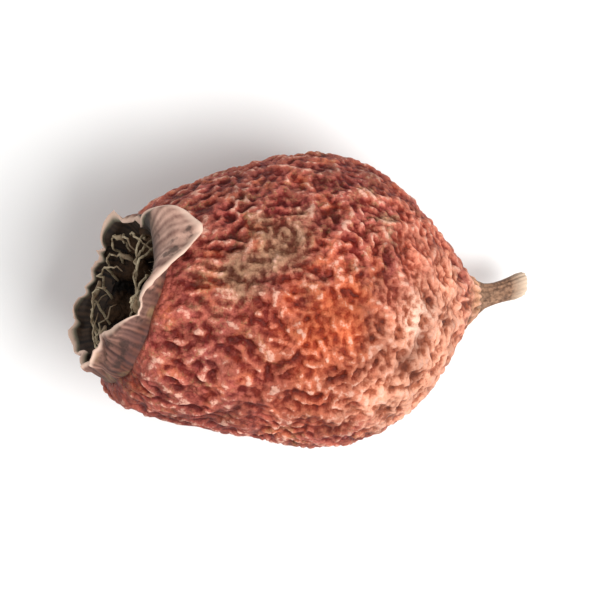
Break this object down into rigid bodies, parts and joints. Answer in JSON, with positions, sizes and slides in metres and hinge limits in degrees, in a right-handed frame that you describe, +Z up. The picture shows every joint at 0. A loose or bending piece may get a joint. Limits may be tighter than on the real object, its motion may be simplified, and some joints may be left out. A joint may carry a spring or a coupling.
{
  "type": "dried hawthorn berry",
  "caption": "Small dried wrinkled red berry lying on its side, with an open calyx crown at one end and a short stalk stub at the other.",
  "frame": {"origin": "on the surface that the berry lies on, at the middle of its bounding box seen from above", "axes": "+Z up, +X towards the stalk end, which is the lower one, and +Y across; the calyx end is at -X, tipped up by 22 degrees"},
  "size_m": [0.013, 0.0082, 0.0091],
  "materials": {
    "dried_skin": "wrinkled dried fruit skin, satin with a dusty bloom on the ridges",
    "withered_calyx": "matt brittle sepal, tan outside and dark inside",
    "withered_style": "matt pale dry fibre",
    "dry_stalk": "matt ribbed dry stalk, paler at the broken end"
  },
  "bodies": {
    "root": {"berry": "dried_skin", "calyx_crown": "withered_calyx", "style": "withered_style", "stalk": "dry_stalk"}
  },
  "joints": []
}
